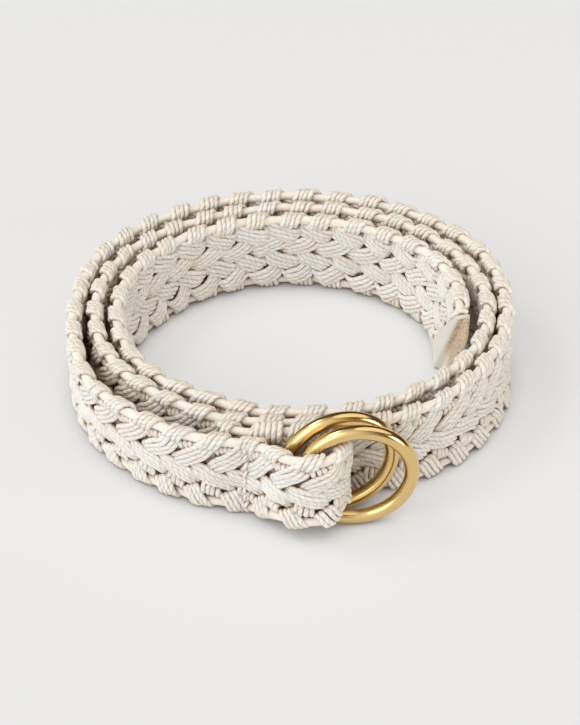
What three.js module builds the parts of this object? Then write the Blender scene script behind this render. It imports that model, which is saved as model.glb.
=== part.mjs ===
// A belt plaited from cotton cord, coiled and standing on its edge, with two brass rings in a sewn loop.
// Millimetres, +Z up. The origin is the middle of the belt's footprint, on the surface that it stands on.
// The strap runs from its inner end, the tip, counter-clockwise as seen from above to the seam by the rings.

import * as THREE from "three";
import { mergeVertices } from "three/addons/utils/BufferGeometryUtils.js";

// The strap
const bandWidth = 30;
const edgeThickness = 4.6;
const fieldThickness = 3.4;
const edgeNeck = 2.2;

// The coil
const coilRadius = 54;
const layerGap = 2.9;
const tipTurn = -3;
const seamTurn = 979;
const tipSlant = 31;
const slantFade = 58;

// The leather tip
const tabEndTurn = -16;
const tabFlapTurn = -5;
const tabFlapSlant = 14;
const leatherThickness = 2;

// The rings
const ringWire = 4.7;
const ringEase = 0.4;
const ringParting = 2;
const ringStagger = 5.6;
const ringRest = 0.8;
const backRingYaw = 14.4;
const frontRingYaw = 6;
const ringPitch = 3.6;

// The loop that holds them
const seamToWire = 12;
const clearance = 0.35;

// How closely the curves are cut into flat faces
const coilStep = 6;
const loopStep = 2.6;
const ringSteps = 48;
const wireSides = 10;

const layerPitch = edgeThickness + layerGap;
const ringInner = bandWidth + ringEase;
const ringRadius = (ringInner + ringWire) / 2;

// The coil's plan. At each heading, in degrees, shape is the innermost pass's reach as a share of coilRadius,
// on top of one layerPitch for each whole turn. ease moves the three passes by shares of layerGap, and lean
// is how far each pass's upper edge stands out past its lower one, as a share of bandWidth.
const COIL_PLAN = [
  { heading: 0, shape: 1.065, ease: [0, 0.22, -0.26], lean: [0.257, 0, 0] },
  { heading: 15, shape: 1.082, ease: [0, 0.19, -0.11], lean: [0.215, 0, 0] },
  { heading: 30, shape: 1.092, ease: [0, 0, 0.13], lean: [0.09, 0, 0.01] },
  { heading: 45, shape: 1.073, ease: [0, 0.22, 0.12], lean: [0.01, 0.01, 0] },
  { heading: 60, shape: 1.047, ease: [0, 0.35, 0.3], lean: [-0.03, 0, 0] },
  { heading: 75, shape: 1.034, ease: [0, 0.2, 0], lean: [-0.05, 0, 0] },
  { heading: 90, shape: 1.027, ease: [0, 0.02, -0.06], lean: [-0.045, 0, 0] },
  { heading: 105, shape: 1.024, ease: [0, -0.2, -0.13], lean: [-0.025, 0, 0] },
  { heading: 120, shape: 1.026, ease: [0, -0.25, -0.2], lean: [0, 0, 0] },
  { heading: 135, shape: 1.037, ease: [0, -0.17, -0.15], lean: [0.06, 0.01, 0.02] },
  { heading: 150, shape: 1.034, ease: [0, -0.04, -0.05], lean: [0.06, 0.01, 0.03] },
  { heading: 165, shape: 1.018, ease: [0, -0.04, -0.42], lean: [0.025, 0, 0.025] },
  { heading: 180, shape: 0.995, ease: [0, -0.09, -0.22], lean: [0, 0, 0.03] },
  { heading: 195, shape: 0.974, ease: [0, -0.1, 0.35], lean: [0, 0, 0.055] },
  { heading: 210, shape: 0.958, ease: [0, -0.2, 1.25], lean: [0, 0, 0.115] },
  { heading: 225, shape: 0.93, ease: [0, -0.38, 1.55], lean: [0, 0, 0.115] },
  { heading: 240, shape: 0.902, ease: [0, -0.1, 1.75], lean: [0, 0, 0.09] },
  { heading: 250, shape: 0.902, ease: [0, -0.25, 1.3], lean: [0, 0, 0.055] },
  { heading: 259, shape: 0.912, ease: [0, -0.72, 0.8], lean: [0, 0, 0.03] },
  { heading: 270, shape: 0.902, ease: [0, -0.74, 0], lean: [0, 0, 0] },
  { heading: 280, shape: 0.91, ease: [0, -0.62, 0], lean: [0, 0, 0] },
  { heading: 290, shape: 0.934, ease: [0, -0.28, 0], lean: [0, 0, 0] },
  { heading: 300, shape: 0.958, ease: [0, 0.06, 0], lean: [0, 0, 0] },
  { heading: 315, shape: 0.974, ease: [0, 0.22, 0], lean: [0, -0.03, 0] },
  { heading: 330, shape: 1.008, ease: [0, -0.15, 0], lean: [0, -0.07, 0] },
  { heading: 345, shape: 1.048, ease: [0, -0.42, 0], lean: [0, -0.05, 0] },
];

// The plan carried on past the tip, where the leather ends.
const TIP_PLAN = [
  { turn: -16, shape: 1.086, lean: 0.22 },
  { turn: -9, shape: 1.07, lean: 0.25 },
];

// The loop from the seam round the rings' wires and back. along is a share of the way from the seam to the
// fold and out a share of the way from the folded-back ply to the front one. lift is a share of the height
// that clears the lower wires, and height a share of bandWidth, where the rings squeeze the strap.
const LOOP_PLAN = [
  { along: 0.14, out: 0.43, lift: 0.2, height: 0.97 },
  { along: 0.23, out: 0.57, lift: 0.36, height: 0.96 },
  { along: 0.315, out: 0.76, lift: 0.52, height: 0.95 },
  { along: 0.43, out: 0.93, lift: 0.66, height: 0.94 },
  { along: 0.57, out: 1.035, lift: 0.76, height: 0.93 },
  { along: 0.7, out: 1.065, lift: 0.83, height: 0.92 },
  { along: 0.84, out: 1.005, lift: 0.92, height: 0.91 },
  { along: 0.935, out: 0.84, lift: 0.99, height: 0.9 },
  { along: 0.985, out: 0.63, lift: 1.02, height: 0.9 },
  { along: 1, out: 0.44, lift: 1.02, height: 0.9 },
  { along: 0.975, out: 0.25, lift: 0.98, height: 0.905 },
  { along: 0.895, out: 0.1, lift: 0.88, height: 0.925 },
  { along: 0.745, out: 0.025, lift: 0.66, height: 0.94 },
  { along: 0.51, out: 0, lift: 0.34, height: 0.965 },
  { along: 0.25, out: 0, lift: 0.1, height: 0.985 },
  { along: 0, out: -0.03, lift: 0, height: 1 },
];

// How far the folded-back end runs past the seam, between the outer pass and the one inside it.
const FOLD_BACK_TURNS = [4.4, 8.8];

const radians = THREE.MathUtils.degToRad;

function planRows() {
  const rows = TIP_PLAN.map((row) => ({ ...row, ease: 0 }));
  for (let pass = 0; pass < 3; pass += 1) {
    for (const { heading, shape, ease, lean } of COIL_PLAN) {
      rows.push({ turn: heading + 360 * pass, shape, ease: ease[pass], lean: lean[pass] });
    }
  }
  return rows;
}

const PLAN = planRows();

function planAt(turn, column) {
  const next = Math.max(1, PLAN.findIndex((row) => row.turn >= turn));
  const from = PLAN[next - 1];
  const to = PLAN[next];
  const share = (turn - from.turn) / (to.turn - from.turn);
  return THREE.MathUtils.lerp(from[column], to[column], share);
}

function upperReach(turn) {
  return planAt(turn, "shape") * coilRadius + (turn / 360) * layerPitch + planAt(turn, "ease") * layerGap;
}

function lowerReach(turn) {
  return upperReach(turn) - planAt(turn, "lean") * bandWidth;
}

function polar(turn, reach, height) {
  return new THREE.Vector3(reach * Math.cos(radians(turn)), reach * Math.sin(radians(turn)), height);
}

// A rung is one crossing of the strap: the middle of its upper and of its lower rim.
function coilRung(upperTurn, lowerTurn = upperTurn) {
  return {
    upper: polar(upperTurn, upperReach(upperTurn), bandWidth),
    lower: polar(lowerTurn, lowerReach(lowerTurn), 0),
  };
}

// Towards the tip the lower edge runs ahead of the upper one, so the plait ends on a slant.
function slantedTurn(turn) {
  const fade = Math.max(0, 1 - (turn - tipTurn) / slantFade);
  return turn + tipSlant * fade;
}

// The strap behind the rings stands at this distance from the coil's axis, and the rings lie against it.
const behindTurn = 630;
const wallBehind = -(upperReach(behindTurn) + edgeThickness / 2);

function ringPlace(yaw, x, y) {
  const lift = ringRadius * Math.cos(radians(ringPitch)) + ringWire / 2;
  return { centre: new THREE.Vector3(x, y, lift), yaw };
}

const seam = coilRung(seamTurn);
const wireX = seam.upper.x + seamToWire;
const backRing = ringPlace(
  backRingYaw,
  wireX + ringRadius * Math.cos(radians(backRingYaw)),
  wallBehind - ringRest - ringWire / 2 - ringRadius * Math.sin(radians(backRingYaw)),
);
const frontRing = ringPlace(
  frontRingYaw,
  backRing.centre.x + ringStagger,
  backRing.centre.y - ringWire - ringParting,
);

// The front ply lies on the front ring's left wire, and the folded-back ply stands in front of the wall behind.
const frontWireY = frontRing.centre.y - ringRadius * Math.sin(radians(frontRingYaw));
const frontPly = frontWireY - ringWire / 2 - fieldThickness / 2 - clearance;
const backPly = wallBehind - edgeThickness / 2 - 2 * clearance;
const foldX = backRing.centre.x + ringRadius * 0.09;
const wireClearing = ringWire + 3.5 * clearance;

function loopRungs() {
  return LOOP_PLAN.map(({ along, out, lift, height }) => {
    const x = THREE.MathUtils.lerp(seam.upper.x, foldX, along);
    const y = THREE.MathUtils.lerp(backPly, frontPly, out);
    const foot = lift * wireClearing;
    return {
      upper: new THREE.Vector3(x, y, foot + height * bandWidth),
      lower: new THREE.Vector3(x, y, foot),
    };
  });
}

// The folded-back end lies halfway between the outer pass and the middle one.
function foldBackRungs() {
  return FOLD_BACK_TURNS.map((past) => {
    const turn = seamTurn - past;
    const reach = (lowerReach(turn) + upperReach(turn - 360)) / 2;
    return { upper: polar(turn, reach, bandWidth), lower: polar(turn, reach, 0) };
  });
}

// The plait's slanted end, or the leather's face set back from it by a turn. Both face the same way.
function tipRung(back = 0) {
  const lowerTurn = slantedTurn(tipTurn);
  const side = polar((tipTurn + lowerTurn) / 2, 1, 0);
  return { ...coilRung(tipTurn - back, lowerTurn - back), side };
}

function coilRungs() {
  const inside = PLAN.filter(({ turn }) => turn > tipTurn + 3 && turn < seamTurn - 3);
  const rungs = inside.map(({ turn }) => coilRung(turn, slantedTurn(turn)));
  return [tipRung(), ...rungs, seam];
}

// Smooth rungs between the given ones, no further apart than step.
function smoothRungs(rungs, stepAt) {
  const upper = new THREE.CatmullRomCurve3(rungs.map((rung) => rung.upper));
  const lower = new THREE.CatmullRomCurve3(rungs.map((rung) => rung.lower));
  const last = rungs.length - 1;
  const smooth = [];
  for (let i = 0; i < last; i += 1) {
    const length = rungs[i].upper.distanceTo(rungs[i + 1].upper);
    const count = Math.ceil(length / stepAt(i));
    smooth.push(rungs[i]);
    for (let k = 1; k < count; k += 1) {
      const t = (i + k / count) / last;
      const foot = lower.getPoint(t);
      foot.z = Math.max(0, foot.z);
      smooth.push({ upper: upper.getPoint(t), lower: foot });
    }
  }
  smooth.push(rungs[last]);
  return smooth;
}

// The strap's outward side at each rung, level and square to its run unless the rung has its own.
function sidesOf(rungs) {
  return rungs.map(({ side }, i) => {
    if (side) return side;
    const before = rungs[Math.max(0, i - 1)];
    const after = rungs[Math.min(rungs.length - 1, i + 1)];
    const run = after.upper.clone().add(after.lower).sub(before.upper).sub(before.lower);
    return new THREE.Vector3(run.y, -run.x, 0).normalize();
  });
}

// A wall through the rungs. A profile lists its points from the upper rim to the lower one, each with its
// distance to the outer and the inner side, and either down from the upper rim or up from the lower one.
function wallGeometry(rungs, profileAt) {
  const sides = sidesOf(rungs);
  const positions = [];
  let count = 0;
  rungs.forEach((rung, i) => {
    const profile = profileAt(i);
    count = profile.length;
    const height = rung.upper.z - rung.lower.z;
    const place = ({ down, up }, reach) => {
      const share = up === undefined ? down / height : 1 - up / height;
      const spot = rung.upper.clone().lerp(rung.lower, share).addScaledVector(sides[i], reach);
      positions.push(spot.x, spot.y, spot.z);
    };
    profile.forEach((point) => place(point, point.outer));
    profile.toReversed().forEach((point) => place(point, -point.inner));
  });
  const around = 2 * count;
  const faces = [];
  for (let i = 0; i + 1 < rungs.length; i += 1) {
    for (let k = 0; k < around; k += 1) {
      const a = i * around + k;
      const b = i * around + ((k + 1) % around);
      faces.push(a, b, b + around, a, b + around, a + around);
    }
  }
  const closeEnd = (start, flip) => {
    for (let k = 0; k + 1 < count; k += 1) {
      const a = start + k;
      const b = start + k + 1;
      const c = start + around - 2 - k;
      const d = start + around - 1 - k;
      faces.push(...(flip ? [a, c, b, a, d, c] : [a, b, c, a, c, d]));
    }
  };
  closeEnd(0, true);
  closeEnd((rungs.length - 1) * around, false);
  const geometry = new THREE.BufferGeometry();
  geometry.setAttribute("position", new THREE.Float32BufferAttribute(positions, 3));
  geometry.setIndex(faces);
  geometry.computeVertexNormals();
  return geometry;
}

// The strap's section: two thick corded edges with a flat crest, and the thinner woven field between them.
function strapProfile() {
  const edge = edgeThickness / 2;
  const field = fieldThickness / 2;
  const crest = 0.45 * edge;
  const neck = edgeThickness + edgeNeck;
  return [
    { outer: crest, inner: crest, down: 0 },
    { outer: edge, inner: edge, down: edge },
    { outer: field, inner: field, down: neck },
    { outer: field, inner: field, up: neck },
    { outer: edge, inner: edge, up: edge },
    { outer: crest, inner: crest, up: 0 },
  ];
}

// The coil and the ring loop are one strap, parted at the seam so that each has collision of its own.
function strapPieces() {
  const coil = coilRungs();
  const rungs = smoothRungs([...coil, ...loopRungs(), ...foldBackRungs()], (i) =>
    i < coil.length - 1 ? coilStep : loopStep,
  );
  const cut = rungs.indexOf(seam);
  const side = sidesOf(rungs)[cut];
  const before = rungs[cut - 1];
  const share = clearance / seam.upper.distanceTo(before.upper);
  const coilEnd = {
    upper: seam.upper.clone().lerp(before.upper, share),
    lower: seam.lower.clone().lerp(before.lower, share),
    side,
  };
  const profile = strapProfile();
  return {
    coil: wallGeometry([...rungs.slice(0, cut), coilEnd], () => profile),
    loop: wallGeometry([{ ...seam, side }, ...rungs.slice(cut + 1)], () => profile),
  };
}

// The tip's leather is two plies as far as the flap's slanted end, and past it the outer ply alone.
function endTab() {
  const start = (clearance / coilRadius) * THREE.MathUtils.RAD2DEG;
  const full = edgeThickness / 2;
  const thin = leatherThickness - full;
  const stops = [
    { turn: tipTurn - start, slant: tipSlant, inner: full },
    { turn: tabFlapTurn, slant: tabFlapSlant, inner: full },
    { turn: tabFlapTurn - start, slant: tabFlapSlant - start, inner: thin },
    { turn: tabEndTurn, slant: 0, inner: thin },
  ];
  const rungs = [];
  const inners = [];
  stops.forEach((stop, i) => {
    const next = stops[Math.min(i + 1, stops.length - 1)];
    const count = next.inner === stop.inner && next !== stop ? 3 : 1;
    for (let k = 0; k < count; k += 1) {
      const turn = THREE.MathUtils.lerp(stop.turn, next.turn, k / count);
      const slant = THREE.MathUtils.lerp(stop.slant, next.slant, k / count);
      rungs.push(rungs.length ? coilRung(turn, turn + slant) : tipRung(start));
      inners.push(stop.inner);
    }
  });
  const rim = 0.6;
  return wallGeometry(rungs.toReversed(), (i) => {
    const inner = inners.toReversed()[i];
    return [
      { outer: full - rim, inner: inner - rim, down: 0 },
      { outer: full, inner, down: rim },
      { outer: full, inner, up: rim },
      { outer: full - rim, inner: inner - rim, up: 0 },
    ];
  });
}

function ringGeometry() {
  const torus = new THREE.TorusGeometry(ringRadius, ringWire / 2, wireSides, ringSteps);
  torus.deleteAttribute("normal");
  torus.deleteAttribute("uv");
  const ring = mergeVertices(torus, 1e-4);
  ring.rotateX(Math.PI / 2);
  ring.computeVertexNormals();
  return ring;
}

const cotton = new THREE.MeshStandardMaterial({ color: 0xe9e2d6, roughness: 0.95, metalness: 0 });
const brass = new THREE.MeshStandardMaterial({ color: 0xc99a4b, roughness: 0.22, metalness: 1 });
const leather = new THREE.MeshStandardMaterial({ color: 0xcdc5b4, roughness: 0.6, metalness: 0 });

function named(name, geometry, material) {
  const mesh = new THREE.Mesh(geometry, material);
  mesh.name = name;
  return mesh;
}

function ring(name, { centre, yaw }) {
  const mesh = named(name, ringGeometry(), brass);
  mesh.rotation.set(radians(ringPitch), 0, radians(yaw), "ZYX");
  mesh.position.copy(centre);
  return mesh;
}

const strap = strapPieces();
const belt = new THREE.Group();
belt.add(
  named("woven_band", strap.coil, cotton),
  named("ring_loop", strap.loop, cotton),
  named("end_tab", endTab(), leather),
  ring("ring_front", frontRing),
  ring("ring_back", backRing),
);

// The belt's footprint is centred on the origin.
belt.updateMatrixWorld(true);
const footprint = new THREE.Box3().setFromObject(belt, true).getCenter(new THREE.Vector3());
belt.position.set(-footprint.x, -footprint.y, 0);

export default belt;
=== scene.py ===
"""A belt plaited from cotton cord, coiled and standing on its edge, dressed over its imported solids.

Metres, +Z up. The strap's path follows the same plan as its solid, and real cords are laid along it: seven
strands of four cords that cross the strap and wrap round a thick cord in each edge.
"""

import math
import random

import bmesh
import bpy
import numpy as np
from mathutils import Matrix, Vector


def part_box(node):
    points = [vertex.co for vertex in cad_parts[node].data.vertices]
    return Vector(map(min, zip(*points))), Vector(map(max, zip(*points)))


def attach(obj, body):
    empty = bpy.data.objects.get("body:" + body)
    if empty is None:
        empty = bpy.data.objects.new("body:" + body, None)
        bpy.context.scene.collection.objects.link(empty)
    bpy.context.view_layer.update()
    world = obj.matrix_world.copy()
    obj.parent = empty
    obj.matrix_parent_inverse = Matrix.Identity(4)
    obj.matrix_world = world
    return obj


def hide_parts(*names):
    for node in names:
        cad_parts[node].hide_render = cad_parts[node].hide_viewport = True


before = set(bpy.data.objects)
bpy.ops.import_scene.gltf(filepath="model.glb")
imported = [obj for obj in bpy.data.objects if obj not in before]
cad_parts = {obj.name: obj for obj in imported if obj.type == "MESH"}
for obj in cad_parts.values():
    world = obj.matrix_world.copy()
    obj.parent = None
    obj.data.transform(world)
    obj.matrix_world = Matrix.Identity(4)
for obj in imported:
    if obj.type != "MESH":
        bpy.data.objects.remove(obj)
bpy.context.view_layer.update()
random.seed(11)

MM = 0.001

# The strap and its coil, as the solid has them. A turn is a heading in degrees, counted on past 360.
BAND_WIDTH = 30 * MM
EDGE_THICKNESS = 4.6 * MM
FIELD_THICKNESS = 3.4 * MM
COIL_RADIUS = 54 * MM
LAYER_GAP = 2.9 * MM
LAYER_PITCH = EDGE_THICKNESS + LAYER_GAP
PASSES = 3
TIP_TURN = -3
TIP_SLANT = 31
BEHIND_TURN = 630
SEAM_TURN = 979
SEAM_APPROACH = 3
FOLD_BACK_TURNS = (4.4, 8.8)
CLEARANCE = 0.35 * MM
CURVE_STEPS = 16

# The rings
RING_WIRE = 4.7 * MM
RING_PLAY = 0.4 * MM
RING_RADIUS = (BAND_WIDTH + RING_PLAY + RING_WIRE) / 2
SEAM_TO_WIRE = 12 * MM
RING_PARTING = 2 * MM
RING_STAGGER = 5.6 * MM
RING_REST = 0.8 * MM
BACK_RING_YAW = math.radians(14.4)
FRONT_RING_YAW = math.radians(6)
RING_PITCH = math.radians(3.6)
WIRE_SIDES = 28
RING_STEPS = 144

# The loop round the rings: how far it folds past the back ring's middle, in ring radii, and how high its
# lower edge is lifted over the wire, in clearances
FOLD_PAST_RING = 0.09
LOOP_LIFT = 3.5

# The leather tip: a flap over the strap's cut end, a step down and one thickness up to the end. The step is
# given as shares of its turns and of its drop. The speckled suede, its brown in part painted shade, starts a
# little past the flap and fades in above the floor, strongest high up.
TAB_FLAP_TURN = -5
TAB_FLAP_SLANT = 14
TAB_STEP_TURNS = 0.9
TAB_STEP_SLANT = 0.5
TAB_STEP = ((0.25, 0.2), (0.5, 0.55), (0.75, 0.85), (1, 1))
TAB_END_TURN = -16
TAB_CORNER = 0.9 * MM
TAB_ROWS = 14
TAB_COLUMNS = 22
TAB_BEND_POINTS = 7
FLAP_FIRST_ROW = 0.03
THIN_FIRST_ROW = 0.08
LEATHER_THICKNESS = 2 * MM
SUEDE_SHADE_PAST_FLAP = 0.3
SUEDE_SHADE_FROM = 7 * MM
SUEDE_SHADE_FADE = 7 * MM
SUEDE_SHADE_LEAST = 0.15

# The plait: how far the strap runs from one edge knot to the next, and what it is plaited from
PLAIT_PITCH = 11.66 * MM
STRANDS = 7
CORDS_PER_STRAND = 4
CORD_DIAMETER = 1.76 * MM
CORD_SPACING = 1.48 * MM
CORD_SIDES = 7
WRAP_SPREAD = 0.1
LEAF_CROWN = 0.25
STOP_STEPS = 2
LONG_WAY_MM = 2.5
SHORTEST_RUN = 4
TUCKED_WITHIN = 1.5 * MM
SEAM_PINCH = 0.45
SEAM_SPAN = 3.2 * MM
PLY_TWIST = 4.4 * MM
PLY_DEPTH = 0.3 * MM

# The thick cord in each edge
CORE_DIAMETER = 3.1 * MM
CORE_INSET = 2.5 * MM
CORE_SIDES = 14
CORE_STEP = 1.5 * MM
CORE_PLY_SHARE = 0.25

# The winding where the strap is folded back, and the seam's stitches
KNOT_FROM = -2.5 * MM
KNOT_PAST_SEAM = 0.6
KNOT_REACH = 3.3 * MM
KNOT_SWELL = 0.1
KNOT_FLATNESS = 0.92
KNOT_TURNS = 5
KNOT_THREAD = 1.9 * MM
KNOT_LAY = 0.94
KNOT_STEPS = 14
STITCHES = 8
STITCH_FROM = 2.2 * MM
STITCH_PITCH = 3.2 * MM
STITCH_LENGTH = 3 * MM
STITCH_START = -0.4 * MM
STITCH_LEAN = 0.9 * MM
STITCH_DEPTH = 0.2 * MM
STITCH_RISE = 1.6 * MM
STITCH_THREAD = 1.2 * MM
STITCH_POINTS = 9
THREAD_SIDES = 8

# How the cords drift from their way: the length and the reach of each wave, in millimetres
STRAND_DRIFT = (
    ((31, 0.4), (17, 0.35), (9, 0.16)),
    ((19, 0.22), (8, 0.14)),
    ((14, 0.14), (7, 0.08)),
)
CORD_DRIFT = (
    ((13, 0.12), (5.3, 0.08)),
    ((12, 0.12), (4.7, 0.08)),
    ((11, 0.12), (4.1, 0.06)),
)
CORE_DRIFT = (((23, 0.15), (9, 0.1)), ((19, 0.15), (8, 0.1)))
GIRTH_DRIFT = ((6.1, 1), (2.9, 0.6))
GIRTH_SWING = 0.04

# The lowest that a cord's middle comes to the floor, in cord diameters
FLOOR_SHARE = 0.55

# How far the shade in hollows and the shadow at the floor's contact reach
HOLLOW_REACH = 11 * MM
CONTACT_REACH = 14 * MM

# The camera, in front of the rings and above them
CAMERA_AIM = Vector((-0.12 * MM, -5.38 * MM, 16 * MM))
CAMERA_DISTANCE = 1.0
CAMERA_ELEVATION = math.radians(36)
CAMERA_LENS = 150
CAMERA_SENSOR = 36
CAMERA_NEAREST = 0.05

# The studio: the floor's half width, the way to the brightest side, and the closeness to that way, as a
# cosine, below which it is dark and above which it is bright
FLOOR_REACH = 4
BRIGHTEST_WAY = (-0.72, -0.64, 0.27)
DARK_BELOW = -0.05
BRIGHT_ABOVE = 0.75

# The plan of the coil: heading, shape, ease of each pass and lean of each pass
COIL_PLAN = [
    (0, 1.065, (0, 0.22, -0.26), (0.257, 0, 0)),
    (15, 1.082, (0, 0.19, -0.11), (0.215, 0, 0)),
    (30, 1.092, (0, 0, 0.13), (0.09, 0, 0.01)),
    (45, 1.073, (0, 0.22, 0.12), (0.01, 0.01, 0)),
    (60, 1.047, (0, 0.35, 0.3), (-0.03, 0, 0)),
    (75, 1.034, (0, 0.2, 0), (-0.05, 0, 0)),
    (90, 1.027, (0, 0.02, -0.06), (-0.045, 0, 0)),
    (105, 1.024, (0, -0.2, -0.13), (-0.025, 0, 0)),
    (120, 1.026, (0, -0.25, -0.2), (0, 0, 0)),
    (135, 1.037, (0, -0.17, -0.15), (0.06, 0.01, 0.02)),
    (150, 1.034, (0, -0.04, -0.05), (0.06, 0.01, 0.03)),
    (165, 1.018, (0, -0.04, -0.42), (0.025, 0, 0.025)),
    (180, 0.995, (0, -0.09, -0.22), (0, 0, 0.03)),
    (195, 0.974, (0, -0.1, 0.35), (0, 0, 0.055)),
    (210, 0.958, (0, -0.2, 1.25), (0, 0, 0.115)),
    (225, 0.93, (0, -0.38, 1.55), (0, 0, 0.115)),
    (240, 0.902, (0, -0.1, 1.75), (0, 0, 0.09)),
    (250, 0.902, (0, -0.25, 1.3), (0, 0, 0.055)),
    (259, 0.912, (0, -0.72, 0.8), (0, 0, 0.03)),
    (270, 0.902, (0, -0.74, 0), (0, 0, 0)),
    (280, 0.91, (0, -0.62, 0), (0, 0, 0)),
    (290, 0.934, (0, -0.28, 0), (0, 0, 0)),
    (300, 0.958, (0, 0.06, 0), (0, 0, 0)),
    (315, 0.974, (0, 0.22, 0), (0, -0.03, 0)),
    (330, 1.008, (0, -0.15, 0), (0, -0.07, 0)),
    (345, 1.048, (0, -0.42, 0), (0, -0.05, 0)),
]

# The plan past the strap's tip, for the leather: turn, shape and lean
TIP_PLAN = [(-16, 1.086, 0.22), (-9, 1.07, 0.25)]

# The plan round the rings' wires and back, as shares: along, out, lift and height
LOOP_PLAN = [
    (0.14, 0.43, 0.2, 0.97),
    (0.23, 0.57, 0.36, 0.96),
    (0.315, 0.76, 0.52, 0.95),
    (0.43, 0.93, 0.66, 0.94),
    (0.57, 1.035, 0.76, 0.93),
    (0.7, 1.065, 0.83, 0.92),
    (0.84, 1.005, 0.92, 0.91),
    (0.935, 0.84, 0.99, 0.9),
    (0.985, 0.63, 1.02, 0.9),
    (1, 0.44, 1.02, 0.9),
    (0.975, 0.25, 0.98, 0.905),
    (0.895, 0.1, 0.88, 0.925),
    (0.745, 0.025, 0.66, 0.94),
    (0.51, 0, 0.34, 0.965),
    (0.25, 0, 0.1, 0.985),
    (0, -0.03, 0, 1),
]

# One strand's way across the strap and back, seven pitches long. Each stop is how far along it lies, its
# height and its depth towards the outer face, all in millimetres, and the way that its cords fan out, in
# degrees from the strap's run. It starts behind the upper edge, on the inner face.
STRAND_STOPS = [
    (-14.4, 22.2, -0.9, 115),
    (-12.0, 21.8, -1.45, 115),
    (-7.8, 23.2, -1.5, 117),
    (-5.0, 24.3, -1.2, 123),
    (-3.9, 25.0, -0.4, 145),
    (-3.2, 25.6, 1.05, 170),
    (-2.2, 27.5, 2.1, 180),
    (-1.2, 29.1, 1.4, 180),
    (-0.3, 29.6, 0.0, 180),
    (0.3, 29.0, -1.45, 180),
    (0.8, 27.5, -2.1, 180),
    (1.3, 25.9, -1.4, 180),
    (1.7, 25.0, 0.3, 180),
    (2.0, 24.7, 1.0, 185),
    (2.2, 23.8, 0.8, 190),
    (2.5, 22.2, -0.2, 200),
    (3.0, 20.5, -0.9, 215),
    (4.4, 19.0, -1.4, 238),
    (8.0, 17.2, -1.5, 245),
    (11.8, 15.7, -1.15, 245),
    (14.0, 15.4, 0.0, 245),
    (16.0, 15.0, 1.1, 246),
    (20.5, 13.6, 1.5, 246),
    (25.2, 12.0, 1.4, 238),
    (27.4, 10.6, 0.7, 225),
    (28.0, 9.4, -0.4, 222),
    (28.8, 8.0, -1.3, 235),
    (31.2, 6.1, -2.3, 243),
    (34.3, 4.6, -2.6, 243),
    (36.4, 4.3, -2.0, 236),
    (37.3, 5.7, -0.4, 218),
    (37.9, 7.0, 0.9, 206),
    (38.7, 6.2, 1.45, 204),
    (39.6, 4.3, 1.8, 204),
    (40.5, 2.5, 2.05, 202),
    (41.5, 1.05, 1.45, 195),
    (42.2, 0.45, 0.0, 185),
    (42.7, 1.05, -1.3, 180),
    (43.0, 2.5, -1.75, 180),
    (43.3, 4.1, -1.35, 180),
    (43.5, 5.0, -0.2, 180),
    (43.7, 5.9, 0.95, 178),
    (43.9, 7.4, 1.3, 172),
    (44.1, 8.9, 0.7, 155),
    (44.5, 9.3, -0.6, 135),
    (45.9, 9.9, -1.3, 120),
    (49.2, 11.0, -1.5, 115),
    (53.0, 12.5, -1.3, 115),
    (55.0, 14.2, -0.3, 115),
    (56.2, 16.4, 0.6, 115),
    (58.2, 18.2, 1.25, 115),
    (62.0, 20.8, 1.6, 115),
    (65.0, 23.2, 1.6, 122),
    (66.5, 25.1, 1.2, 135),
    (67.0, 25.3, 0.0, 130),
]


def lerp(a, b, share):
    return a + (b - a) * share


def bow(points):
    """Nought at both ends and one in the middle."""
    return np.sin(np.linspace(0, math.pi, points))


def plan_rows():
    """The plan of the whole way, as turn, shape, ease and lean."""
    rows = [(turn, shape, 0, lean) for turn, shape, lean in TIP_PLAN]
    for turns in range(PASSES):
        for heading, shape, ease, lean in COIL_PLAN:
            rows.append((heading + 360 * turns, shape, ease[turns], lean[turns]))
    return rows


PLAN = plan_rows()


def plan_at(turn):
    """The shape, the ease and the lean of the coil at this turn."""
    later = next((i for i, row in enumerate(PLAN) if row[0] >= turn), len(PLAN) - 1)
    after = max(1, later)
    first, second = PLAN[after - 1], PLAN[after]
    share = (turn - first[0]) / (second[0] - first[0])
    return [lerp(a, b, share) for a, b in zip(first[1:], second[1:])]


def upper_reach(turn):
    shape, ease, _ = plan_at(turn)
    return shape * COIL_RADIUS + turn / 360 * LAYER_PITCH + ease * LAYER_GAP


def lower_reach(turn):
    return upper_reach(turn) - plan_at(turn)[2] * BAND_WIDTH


def polar(turn, reach, height):
    """The point this far out from the coil's axis at this turn."""
    angle = math.radians(turn)
    return Vector((reach * math.cos(angle), reach * math.sin(angle), height))


def coil_rung(upper_turn, lower_turn):
    """One crossing of the strap: the middle of its upper and of its lower rim."""
    return (
        polar(upper_turn, upper_reach(upper_turn), BAND_WIDTH),
        polar(lower_turn, lower_reach(lower_turn), 0),
    )


SEAM = coil_rung(SEAM_TURN, SEAM_TURN)
WALL_BEHIND = -(upper_reach(BEHIND_TURN) + EDGE_THICKNESS / 2)
RING_LIFT = RING_RADIUS * math.cos(RING_PITCH) + RING_WIRE / 2
BACK_RING = Vector(
    (
        SEAM[0].x + SEAM_TO_WIRE + RING_RADIUS * math.cos(BACK_RING_YAW),
        WALL_BEHIND - RING_REST - RING_WIRE / 2 - RING_RADIUS * math.sin(BACK_RING_YAW),
        RING_LIFT,
    )
)
FRONT_RING = BACK_RING + Vector((RING_STAGGER, -RING_WIRE - RING_PARTING, 0))

# The solids' footprint is centred on the frame's origin, and the path's plan on the coil's axis.
RING_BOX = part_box("ring_front")
SHIFT = (Vector(RING_BOX[0]) + Vector(RING_BOX[1])) / 2 - FRONT_RING
SHIFT.z = 0


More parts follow.
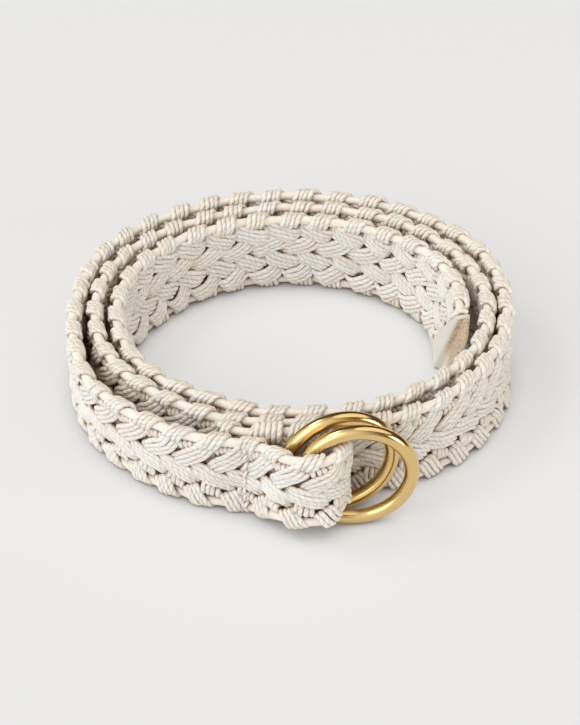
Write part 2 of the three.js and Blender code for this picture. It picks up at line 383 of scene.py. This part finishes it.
def loop_rungs():
    """The strap from the seam round the rings' wires and back behind the seam."""
    front_wire = FRONT_RING.y - RING_RADIUS * math.sin(FRONT_RING_YAW)
    front_ply = front_wire - RING_WIRE / 2 - FIELD_THICKNESS / 2 - CLEARANCE
    back_ply = WALL_BEHIND - EDGE_THICKNESS / 2 - 2 * CLEARANCE
    fold = BACK_RING.x + RING_RADIUS * FOLD_PAST_RING
    clearing = RING_WIRE + LOOP_LIFT * CLEARANCE
    rungs = []
    for along, out, lift, height in LOOP_PLAN:
        x = lerp(SEAM[0].x, fold, along)
        y = lerp(back_ply, front_ply, out)
        foot = lift * clearing
        rungs.append((Vector((x, y, foot + height * BAND_WIDTH)), Vector((x, y, foot))))
    return rungs


def fold_back_rungs():
    """The strap's folded-back end, between two passes of the coil."""
    rungs = []
    for past in FOLD_BACK_TURNS:
        turn = SEAM_TURN - past
        reach = (lower_reach(turn) + upper_reach(turn - 360)) / 2
        rungs.append((polar(turn, reach, BAND_WIDTH), polar(turn, reach, 0)))
    return rungs


def smooth_curve(points, steps):
    """A centripetal Catmull-Rom curve through the points, with steps samples from each to the next."""
    ends = [2 * points[0] - points[1], *points, 2 * points[-1] - points[-2]]
    curve = []
    for before, start, end, after in zip(ends, ends[1:], ends[2:], ends[3:]):
        pairs = ((before, start), (start, end), (end, after))
        gaps = [max(1e-5, (b - a).length ** 0.5) for a, b in pairs]
        first = (start - before) / gaps[0] - (end - before) / (gaps[0] + gaps[1]) + (end - start) / gaps[1]
        last = (end - start) / gaps[1] - (after - start) / (gaps[1] + gaps[2]) + (after - end) / gaps[2]
        first, last = first * gaps[1], last * gaps[1]
        for step in range(steps):
            t = step / steps
            curve.append(
                start
                + first * t
                + (3 * (end - start) - 2 * first - last) * t**2
                + (2 * (start - end) + first + last) * t**3
            )
    curve.append(points[-1].copy())
    return curve


class Strap:
    """The strap's middle surface: its upper and lower rim against the distance along it from the tip."""

    def __init__(self):
        plan_turns = [row[0] for row in PLAN if TIP_TURN < row[0] < SEAM_TURN - SEAM_APPROACH]
        coil = [coil_rung(turn, turn) for turn in [TIP_TURN, *plan_turns]] + [SEAM]
        rungs = coil + loop_rungs() + fold_back_rungs()
        self.upper = np.array(smooth_curve([rung[0] for rung in rungs], CURVE_STEPS)) + np.array(SHIFT)
        self.lower = np.array(smooth_curve([rung[1] for rung in rungs], CURVE_STEPS)) + np.array(SHIFT)
        self.lower[:, 2] = np.maximum(self.lower[:, 2], 0)
        middle = (self.upper + self.lower) / 2
        self.along = np.concatenate([[0], np.cumsum(np.linalg.norm(np.diff(middle, axis=0), axis=1))])
        run = np.gradient(middle, axis=0)
        side = np.stack([run[:, 1], -run[:, 0], np.zeros(len(run))], axis=1)
        self.side = side / np.linalg.norm(side, axis=1)[:, None]
        self.length = self.along[-1]
        self.seam = self.along[(len(coil) - 1) * CURVE_STEPS]
        self.cut = math.radians(TIP_SLANT) * lower_reach(TIP_TURN)

    def _at(self, column, along):
        return np.stack([np.interp(along, self.along, column[:, k]) for k in range(3)], axis=1)

    def place(self, along, height, depth):
        """Points of the strap this far along it, this high over its lower rim and this deep outwards."""
        upper, lower, side = (self._at(column, along) for column in (self.upper, self.lower, self.side))
        side = side / np.linalg.norm(side, axis=1)[:, None]
        return lower + (upper - lower) * (height / BAND_WIDTH)[:, None] + side * depth[:, None]

    def cut_at(self, height):
        """How far along the strap its slanted tip is cut off at this height."""
        return self.cut * (1 - height / BAND_WIDTH)

    def covers(self, along, height):
        """Which of these places lie on the strap."""
        return (along > self.cut_at(height)) & (along < self.length)


STRAP = Strap()


def wander(along, waves):
    """A slow random drift along a cord, from waves of a length and a reach in millimetres."""
    drift = np.zeros(len(along))
    for wave, reach in waves:
        drift += reach * MM * np.sin(math.tau * (along / (wave * MM) + random.random()))
    return drift


def through(stops, steps):
    """A smooth curve through rows of along, height, depth and fan, with one more step on long ways."""
    rows = []
    for a, b, c, d in zip(stops, stops[1:], stops[2:], stops[3:]):
        count = steps if np.linalg.norm((c - b)[:3]) < LONG_WAY_MM else steps + 1
        bend = 2 * a - 5 * b + 4 * c - d
        swing = 3 * b - a - 3 * c + d
        for step in range(count):
            t = step / count
            rows.append(0.5 * (2 * b + (c - a) * t + bend * t**2 + swing * t**3))
    return np.array(rows)


def strand_rows(strand):
    """The way of one strand from before the tip to past the end, with the drift that its cords share."""
    cycle = STRANDS * PLAIT_PITCH / MM
    turns = int(STRAP.length / MM / cycle) + 3
    stops = np.concatenate([np.array(STRAND_STOPS) + [cycle * turn, 0, 0, 0] for turn in range(-1, turns)])
    rows = through(stops, STOP_STEPS)
    rows[:, :3] *= MM
    rows[:, 0] += strand * PLAIT_PITCH
    along = rows[:, 0].copy()
    for column, waves in enumerate(STRAND_DRIFT):
        rows[:, column] += wander(along, waves)
    return rows


def cord_runs(rows, cord):
    """One cord of a strand: its stretches on the strap, each point with how far the cord is tucked in."""
    middle = (CORDS_PER_STRAND - 1) / 2
    place = cord - middle
    fan = np.radians(rows[:, 3])
    aside = place * CORD_SPACING * (1 + WRAP_SPREAD * np.cos(fan) ** 2)
    along = rows[:, 0] + aside * np.cos(fan)
    height = rows[:, 1] + aside * np.sin(fan)
    depth = rows[:, 2] * (1 + LEAF_CROWN * (1 - (place / middle) ** 2) * np.sin(fan) ** 2)
    depth *= 1 - SEAM_PINCH * np.exp(-(((along - STRAP.seam) / SEAM_SPAN) ** 2))
    along, height, depth = (
        part + wander(rows[:, 0], waves) for part, waves in zip((along, height, depth), CORD_DRIFT)
    )
    inside = STRAP.covers(along, height).astype(int)
    ends = np.flatnonzero(np.diff(np.concatenate([[0], inside, [0]])))
    spans = [slice(a, b) for a, b in zip(ends[::2], ends[1::2]) if b - a >= SHORTEST_RUN]
    tucked = np.clip(1 - np.abs(depth) / TUCKED_WITHIN, 0, 1)
    return [
        np.column_stack([STRAP.place(along[span], height[span], depth[span]), tucked[span]])
        for span in spans
    ]


def carried_frames(points):
    """Two directions across the run at each of its points, carried along it without twisting."""
    runs = np.gradient(points, axis=0)
    runs /= np.linalg.norm(runs, axis=1)[:, None]
    across = np.empty_like(runs)
    off_every_run = (0.36, 0.48, 0.8)
    start = np.cross(runs[0], off_every_run)
    across[0] = start / np.linalg.norm(start)
    for i in range(1, len(points)):
        kept = across[i - 1] - runs[i] * (across[i - 1] @ runs[i])
        across[i] = kept / math.sqrt(kept @ kept)
    return across, np.cross(runs, across)


def cords(name, runs, diameter, sides):
    """Round cords through the runs of points, as one mesh.

    Its UV map is the way round and the way along each cord. A run may hold a fourth column, how far the cord
    is tucked in there.
    """
    corners, quads, caps, uvs, tones, tucks = [], [], [], [], [], []
    total = 0
    for run in runs:
        tucked = run[:, 3] if run.shape[1] > 3 else np.zeros(len(run))
        run = run[:, :3]
        run[:, 2] = np.maximum(run[:, 2], diameter * FLOOR_SHARE)
        across, up = carried_frames(run)
        count = len(run)
        length = np.concatenate([[0], np.cumsum(np.linalg.norm(np.diff(run, axis=0), axis=1))])
        girth = diameter / 2 * (1 + GIRTH_SWING * wander(length, GIRTH_DRIFT) / MM)
        angles = math.tau * np.arange(sides) / sides
        ring_x = np.cos(angles)[None, :, None] * across[:, None, :]
        ring_y = np.sin(angles)[None, :, None] * up[:, None, :]
        corners.append((run[:, None, :] + girth[:, None, None] * (ring_x + ring_y)).reshape(-1, 3))
        i, j = np.meshgrid(np.arange(count - 1), np.arange(sides), indexing="ij")
        here, there = i * sides + total, (i + 1) * sides + total
        k = (j + 1) % sides
        quads.append(np.stack([here + j, here + k, there + k, there + j], 2).reshape(-1, 4))
        around = np.stack([j, j + 1, j + 1, j], 2) / sides
        start, end = length[i], length[i + 1]
        uvs.append(np.stack([around, np.stack([start, start, end, end], 2)], 3).reshape(-1, 2))
        caps.append(list(range(total + sides - 1, total - 1, -1)))
        caps.append(list(range(total + (count - 1) * sides, total + count * sides)))
        tones.append(np.full(count * sides, random.random()))
        tucks.append(np.repeat(tucked, sides))
        total += count * sides
    mesh = bpy.data.meshes.new(name)
    mesh.from_pydata(np.concatenate(corners).tolist(), [], np.concatenate(quads).tolist() + caps)
    flat = np.zeros((len(mesh.loops), 2))
    ways = np.concatenate(uvs)
    flat[: len(ways)] = ways
    mesh.uv_layers.new(name="cord_way").data.foreach_set("uv", flat.ravel())
    mesh.attributes.new("tone", "FLOAT", "POINT").data.foreach_set("value", np.concatenate(tones))
    mesh.attributes.new("tucked", "FLOAT", "POINT").data.foreach_set("value", np.concatenate(tucks))
    mesh.shade_smooth()
    return add_piece(name, mesh)


def add_piece(name, mesh):
    piece = bpy.data.objects.new(name, mesh)
    bpy.context.scene.collection.objects.link(piece)
    return piece


def add_shape(name, shape):
    """The finished bmesh as an object."""
    mesh = bpy.data.meshes.new(name)
    shape.to_mesh(mesh)
    shape.free()
    mesh.shade_smooth()
    return add_piece(name, mesh)


class Socket:
    """A shader value that can be written into sums."""

    def __init__(self, nodes, output):
        self.nodes = nodes
        self.output = output

    def _math(self, operation, a, b):
        return self.nodes.node("ShaderNodeMath", {"operation": operation}, {0: a, 1: b})

    def __add__(self, other):
        return self._math("ADD", self, other)

    def __mul__(self, other):
        return self._math("MULTIPLY", self, other)

    def __sub__(self, other):
        return self._math("SUBTRACT", self, other)

    def __rsub__(self, other):
        return self._math("SUBTRACT", other, self)

    __radd__ = __add__
    __rmul__ = __mul__

    def absolute(self):
        return self._math("ABSOLUTE", self, 0.0)

    def cosine(self):
        return self._math("COSINE", self, 0.0)

    def power(self, exponent):
        return self._math("POWER", self, exponent)

    def clamped(self):
        return self._math("MINIMUM", self._math("MAXIMUM", self, 0.0), 1.0)


class Nodes:
    """A node tree that nodes are added to."""

    def __init__(self, tree):
        self.tree = tree

    def node(self, kind, settings=None, values=None, output=0):
        node = self.tree.nodes.new(kind)
        for key, value in (settings or {}).items():
            setattr(node, key, value)
        for key, value in (values or {}).items():
            if isinstance(value, Socket):
                self.tree.links.new(value.output, node.inputs[key])
            else:
                node.inputs[key].default_value = value
        return Socket(self, node.outputs[output])

    def blend(self, factor, first, second):
        """The first colour where the factor is nought, the second where it is one."""
        first, second = (part if isinstance(part, Socket) else (*part, 1) for part in (first, second))
        return self.node("ShaderNodeMix", {"data_type": "RGBA"}, {0: factor, 6: first, 7: second}, 2)


class Finish(Nodes):
    """A material on its tree's own shader."""

    def __init__(self, name, slot_name, base, roughness, metallic=0.0):
        self.material = bpy.data.materials.new(name)
        self.material.use_nodes = True
        super().__init__(self.material.node_tree)
        self.slot_name = slot_name
        self.shader = self.tree.nodes["Principled BSDF"]
        self.hold({"Base Color": (*base, 1), "Roughness": roughness, "Metallic": metallic})

    def hold(self, values):
        """Set the shader's sockets to constants."""
        for name, value in values.items():
            self.shader.inputs[name].default_value = value

    def feed(self, name, socket):
        self.tree.links.new(socket.output, self.shader.inputs[name])

    def relief(self, height, strength, distance):
        values = {"Strength": strength, "Distance": distance, "Height": height}
        self.feed("Normal", self.node("ShaderNodeBump", values=values))

    def place(self):
        return self.node("ShaderNodeTexCoord", output="Object")

    def noise(self, scale, detail):
        values = {"Vector": self.place(), "Scale": scale, "Detail": detail}
        return self.node("ShaderNodeTexNoise", values=values)

    def attribute(self, name):
        return self.node("ShaderNodeAttribute", {"attribute_name": name}, output="Fac")

    def open_sky(self, reach):
        """One in the open, nought where all that is seen within this reach is in the way."""
        return self.node("ShaderNodeAmbientOcclusion", {"samples": 8}, {"Distance": reach}, "AO")


def cotton_finish(name, ply_share):
    """Undyed cotton of two plies: the twist is in the UV map's way round and along each cord.

    Its colour holds painted shade: tan in the grooves between the plies and on the tucked-in cords, and
    brown in the hollows.
    """
    finish = Finish(name, "cotton_cord", base=(0.84, 0.78, 0.68), roughness=0.9)
    way = finish.node("ShaderNodeUVMap", {"uv_map": "cord_way"})
    around = finish.node("ShaderNodeSeparateXYZ", values={"Vector": way}, output="X")
    along = finish.node("ShaderNodeSeparateXYZ", values={"Vector": way}, output="Y")
    ply = ((around - along * (1 / PLY_TWIST)) * math.tau).cosine().absolute()
    groove = (1 - ply).power(2.5) * ply_share
    fibre = finish.noise(scale=2600.0, detail=3.0)
    patch = finish.noise(scale=160.0, detail=3.0)
    cream, bleached = (0.82, 0.75, 0.64), (0.93, 0.905, 0.86)
    # Painted shade: the tans darken the ply grooves and the tucked-in cords, the brown darkens the hollows.
    tucked_shade_tan, groove_shade_tan, hollow_shade_brown = (0.66, 0.50, 0.34), (0.58, 0.42, 0.27), (0.46, 0.29, 0.165)
    mottled = finish.blend(patch * 0.7 + finish.attribute("tone") * 0.4 - 0.05, cream, bleached)
    # Painted shade: cords tucked into the plait, away from either face, are tinted darker tan.
    tuck_shaded = finish.blend(finish.attribute("tucked") * 0.35, mottled, tucked_shade_tan)
    # Painted shade in the grooves between the plies.
    groove_shaded = finish.blend(groove * 0.32, tuck_shaded, groove_shade_tan)
    # Painted shade: brown where little open sky is seen within HOLLOW_REACH, in the gaps between passes and
    # deep in the plait.
    hollow_shade = (1 - finish.open_sky(HOLLOW_REACH)).power(4) * 1.1
    finish.feed("Base Color", finish.blend(hollow_shade.clamped(), groove_shaded, hollow_shade_brown))
    finish.relief(ply.power(0.7) * ply_share + fibre * 0.35, strength=0.85, distance=PLY_DEPTH)
    finish.hold(
        {
            "Sheen Weight": 0.2,
            "Sheen Roughness": 0.5,
            "Subsurface Weight": 0.6,
            "Subsurface Radius": (1.0, 0.8, 0.62),
            "Subsurface Scale": 1.5 * MM,
        }
    )
    return finish


def brass_finish():
    """Polished brass with a haze of wear and fine marks."""
    finish = Finish("worn_brass", "ring_brass", base=(0.79, 0.565, 0.245), roughness=0.17, metallic=1.0)
    haze = finish.noise(scale=220.0, detail=4.0)
    marks = finish.noise(scale=900.0, detail=2.0)
    finish.feed("Roughness", haze * 0.14 + 0.1)
    finish.relief(marks, strength=0.12, distance=0.05 * MM)
    return finish


def leather_finish():
    """Smooth grain on the flap and speckled suede past it, its brown in part painted shade, told apart by
    the tab's own attribute.
    """
    finish = Finish("pale_leather", "tip_leather", base=(0.74, 0.70, 0.62), roughness=0.55)
    suede_and_shade = finish.attribute("suede_and_shade")
    grain = finish.node("ShaderNodeTexVoronoi", values={"Vector": finish.place(), "Scale": 1300.0})
    speck = finish.noise(scale=1500.0, detail=4.0)
    cloud = finish.noise(scale=190.0, detail=2.0)
    speckle = ((speck - 0.5) * 5 + 0.45 + (cloud - 0.5) * 1.4).clamped()
    # The suede's speckled brown, darker than the leather, is in part painted shade.
    suede = finish.blend(speckle, (0.42, 0.27, 0.15), (0.72, 0.60, 0.45))
    smooth = finish.blend(cloud, (0.70, 0.66, 0.57), (0.80, 0.77, 0.70))
    # Where the suede and its painted shade show, mottled by noise.
    mottled = (suede_and_shade * (cloud * 2.4 + speck - 0.6)).clamped()
    finish.feed("Base Color", finish.blend(mottled, smooth, suede))
    finish.feed("Roughness", suede_and_shade * 0.35 + 0.5)
    finish.relief(grain * 0.5 + suede_and_shade * speck * 4, strength=0.5, distance=0.15 * MM)
    return finish


COTTON = cotton_finish("plied_cotton", 1)
SMOOTH_COTTON = cotton_finish("smooth_cotton", CORE_PLY_SHARE)
BRASS = brass_finish()
LEATHER = leather_finish()


def dress(piece, finish, *nodes):
    """Give a piece its finish and its place on the part, instead of these nodes of the solid."""
    piece.data.materials.append(finish.material)
    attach(piece, "root")
    if nodes:
        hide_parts(*nodes)


def add_plait():
    """The seven strands, each a piece of four cords."""
    for strand in range(STRANDS):
        rows = strand_rows(strand)
        runs = [run for cord in range(CORDS_PER_STRAND) for run in cord_runs(rows, cord)]
        piece = cords(f"plait_strand_{strand + 1}", runs, CORD_DIAMETER, CORD_SIDES)
        dress(piece, COTTON, *(("woven_band", "ring_loop") if strand == 0 else ()))


def add_edge_cords():
    """The thick smooth cord in each edge."""
    for name, height in (("upper_edge_cord", BAND_WIDTH - CORE_INSET), ("lower_edge_cord", CORE_INSET)):
        along = np.arange(STRAP.cut_at(height), STRAP.length, CORE_STEP)
        rise, sway = [wander(along, waves) for waves in CORE_DRIFT]
        run = STRAP.place(along, height + rise, sway)
        dress(cords(name, [run], CORE_DIAMETER, CORE_SIDES), SMOOTH_COTTON)


def add_fold_knot():
    """A thread wound round the upper edge where the strap is folded back, turn beside turn."""
    behind = STRAP.along > lerp(STRAP.seam, STRAP.length, KNOT_PAST_SEAM)
    nearest = np.argmin(np.abs(STRAP.upper[behind][:, 0] - KNOT_FROM))
    angle = np.linspace(0, math.tau * KNOT_TURNS, KNOT_TURNS * KNOT_STEPS)
    along = STRAP.along[behind][nearest] + angle / math.tau * KNOT_THREAD * KNOT_LAY
    swell = KNOT_REACH * (1 - KNOT_SWELL + KNOT_SWELL * bow(len(angle)))
    height = BAND_WIDTH - CORE_INSET + swell * np.sin(angle)
    run = STRAP.place(along, height, swell * KNOT_FLATNESS * np.cos(angle))
    dress(cords("fold_knot", [run], KNOT_THREAD, THREAD_SIDES), COTTON)


def add_seam_stitches():
    """The thread that closes the ring loop, in short upright stitches through both plies."""
    runs = []
    for stitch in range(STITCHES):
        low = STITCH_FROM + STITCH_PITCH * stitch
        height = np.linspace(low, low + STITCH_LENGTH, STITCH_POINTS)
        lean = np.linspace(STITCH_START, random.uniform(0, STITCH_LEAN), STITCH_POINTS)
        depth = STITCH_DEPTH + STITCH_RISE * bow(STITCH_POINTS) ** 0.5
        runs.append(STRAP.place(STRAP.seam + lean, height, depth))
    dress(cords("seam_stitches", runs, STITCH_THREAD, THREAD_SIDES), COTTON)


def tab_stations():
    """The tab's cross-sections from the cut edge to the end: turn, slant and the inner face's depth."""
    start = math.degrees(CLEARANCE / COIL_RADIUS)
    flap = -EDGE_THICKNESS / 2
    thin = EDGE_THICKNESS / 2 - LEATHER_THICKNESS
    stations = [(TIP_TURN - start, TIP_SLANT + start, flap + TAB_CORNER)]
    for share in np.linspace(FLAP_FIRST_ROW, 1, TAB_ROWS):
        turn = lerp(TIP_TURN - start, TAB_FLAP_TURN, share)
        stations.append((turn, lerp(TIP_SLANT, TAB_FLAP_SLANT, share), flap))
    for share, drop in TAB_STEP:
        turn = TAB_FLAP_TURN - TAB_STEP_TURNS * share
        stations.append((turn, TAB_FLAP_SLANT - TAB_STEP_SLANT * share, lerp(flap, thin, drop)))
    for share in np.linspace(THIN_FIRST_ROW, 1, TAB_ROWS):
        turn = lerp(TAB_FLAP_TURN - TAB_STEP_TURNS, TAB_END_TURN, share)
        stations.append((turn, lerp(TAB_FLAP_SLANT - TAB_STEP_SLANT, 0, share), thin))
    return stations


def tab_section(inner):
    """Heights and depths round the tab, up its outer face and down its inner one, with rounded rims."""
    outer = EDGE_THICKNESS / 2
    middle, half = (outer + inner) / 2, (outer - inner) / 2
    top = BAND_WIDTH - TAB_CORNER
    heights = np.linspace(TAB_CORNER, top, TAB_COLUMNS)
    bend = np.linspace(0, math.pi, TAB_BEND_POINTS)[1:-1]
    return [
        *[(height, outer) for height in heights],
        *[(top + TAB_CORNER * math.sin(a), middle + half * math.cos(a)) for a in bend],
        *[(height, inner) for height in heights[::-1]],
        *[(TAB_CORNER - TAB_CORNER * math.sin(a), middle - half * math.cos(a)) for a in bend],
    ]


def add_tab():
    """The leather that wraps the strap's cut tip: a thick flap, then the single thickness past it."""
    shape = bmesh.new()
    suede_and_shade = shape.verts.layers.float.new("suede_and_shade")
    sections = []
    for turn, slant, inner in tab_stations():
        upper, lower = coil_rung(turn, turn + slant)
        side = polar(turn + slant / 2, 1, 0)
        section = []
        for height, depth in tab_section(inner):
            place = lower + (upper - lower) * (height / BAND_WIDTH) + side * depth + SHIFT
            corner = shape.verts.new(place)
            # Suede with painted shade: past the flap, on all but the outer face, strongest high up and
            # paling towards the floor.
            if turn < TAB_FLAP_TURN - SUEDE_SHADE_PAST_FLAP and depth < EDGE_THICKNESS / 2:
                corner[suede_and_shade] = min(1, max(SUEDE_SHADE_LEAST, (height - SUEDE_SHADE_FROM) / SUEDE_SHADE_FADE))
            section.append(corner)
        sections.append([shape.edges.new(pair) for pair in zip(section, section[1:] + section[:1])])
    for first, second in zip(sections, sections[1:]):
        bmesh.ops.bridge_loops(shape, edges=first + second)
    bmesh.ops.edgeloop_fill(shape, edges=sections[0])
    bmesh.ops.edgeloop_fill(shape, edges=sections[-1])
    bmesh.ops.recalc_face_normals(shape, faces=shape.faces)
    dress(add_shape("leather_tab", shape), LEATHER, "end_tab")


def add_ring(name, node, centre, yaw):
    """A round wire ring, standing as its solid does."""
    shape = bmesh.new()
    wire = bmesh.ops.create_circle(
        shape,
        cap_ends=False,
        segments=WIRE_SIDES,
        radius=RING_WIRE / 2,
        matrix=Matrix.Translation((RING_RADIUS, 0, 0)),
    )
    bmesh.ops.spin(
        shape,
        geom=wire["verts"] + shape.edges[:],
        cent=(0, 0, 0),
        axis=(0, 1, 0),
        angle=math.tau,
        steps=RING_STEPS,
        use_merge=True,
    )
    bmesh.ops.recalc_face_normals(shape, faces=shape.faces)
    stand = Matrix.Rotation(yaw, 4, "Z") @ Matrix.Rotation(RING_PITCH, 4, "X")
    bmesh.ops.transform(shape, matrix=Matrix.Translation(centre + SHIFT) @ stand, verts=shape.verts)
    dress(add_shape(name, shape), BRASS, node)


def aimed(thing, place, aim):
    thing.location = place
    thing.rotation_euler = (aim - place).to_track_quat("-Z", "Y").to_euler()


def add_camera():
    camera = bpy.data.objects.new("camera", bpy.data.cameras.new("camera"))
    bpy.context.scene.collection.objects.link(camera)
    camera.data.lens = CAMERA_LENS
    camera.data.sensor_width = CAMERA_SENSOR
    camera.data.clip_start = CAMERA_NEAREST
    back = Vector((0, -math.cos(CAMERA_ELEVATION), math.sin(CAMERA_ELEVATION)))
    aimed(camera, CAMERA_AIM + back * CAMERA_DISTANCE, CAMERA_AIM)
    bpy.context.scene.camera = camera


def add_light(name, place, size, power, colour):
    """A round soft light that shines on the belt's middle."""
    light = bpy.data.objects.new(name, bpy.data.lights.new(name, "AREA"))
    bpy.context.scene.collection.objects.link(light)
    light.data.shape = "DISK"
    light.data.size = size
    light.data.energy = power
    light.data.color = colour
    aimed(light, Vector(place), Vector((0, 0, 0)))


def add_floor():
    """Pale paper that glows a little, less where the belt stands close over it: a painted contact shadow,
    dark brown where it is deepest.
    """
    shape = bmesh.new()
    bmesh.ops.create_grid(shape, x_segments=1, y_segments=1, size=FLOOR_REACH)
    paper = Finish("floor_paper", None, base=(0.4, 0.401, 0.402), roughness=1.0)
    paper.hold({"Specular IOR Level": 0, "Emission Strength": 0.42})
    # Painted contact shadow: the glow fades to dark brown where the belt hems the floor in within
    # CONTACT_REACH.
    glow = (paper.open_sky(CONTACT_REACH) * 1.7 - 0.15).clamped()
    paper.feed("Emission Color", paper.blend(glow, (0.06, 0.035, 0.02), (1, 1, 1)))
    floor = add_shape("floor", shape)
    floor.data.materials.append(paper.material)


def add_world():
    """A studio that is bright on the left and in front, and dark behind."""
    world = bpy.data.worlds.new("studio")
    bpy.context.scene.world = world
    world.use_nodes = True
    studio = Nodes(world.node_tree)
    place = studio.node("ShaderNodeTexCoord", output="Generated")
    toward = studio.node(
        "ShaderNodeVectorMath",
        {"operation": "DOT_PRODUCT"},
        {0: place, 1: BRIGHTEST_WAY},
        "Value",
    )
    ramp = studio.node(
        "ShaderNodeMapRange",
        {"interpolation_type": "SMOOTHSTEP"},
        {"Value": toward, "From Min": DARK_BELOW, "From Max": BRIGHT_ABOVE},
        "Result",
    )
    sky = studio.blend(ramp, (0.10, 0.066, 0.04), (1.02, 1.03, 1.05))
    studio.tree.links.new(sky.output, studio.tree.nodes["Background"].inputs["Color"])


add_plait()
add_edge_cords()
add_fold_knot()
add_seam_stitches()
add_tab()
add_ring("brass_ring_front", "ring_front", FRONT_RING, FRONT_RING_YAW)
add_ring("brass_ring_back", "ring_back", BACK_RING, BACK_RING_YAW)

add_camera()
add_floor()
add_world()
add_light("window_light", place=(-0.9, -0.95, 0.95), size=1.5, power=8, colour=(1, 0.995, 0.985))
add_light("rim_light", place=(-0.6, 0.2, 1.0), size=0.4, power=2.2, colour=(1, 0.98, 0.95))
add_light("sky_light", place=(0.7, 0.1, 1.3), size=1.6, power=7, colour=(1, 0.99, 0.97))
add_light("ring_card", place=(1.1, -0.5, 0.3), size=0.5, power=3.5, colour=(1, 0.97, 0.92))
bpy.context.scene.view_settings.view_transform = "Standard"
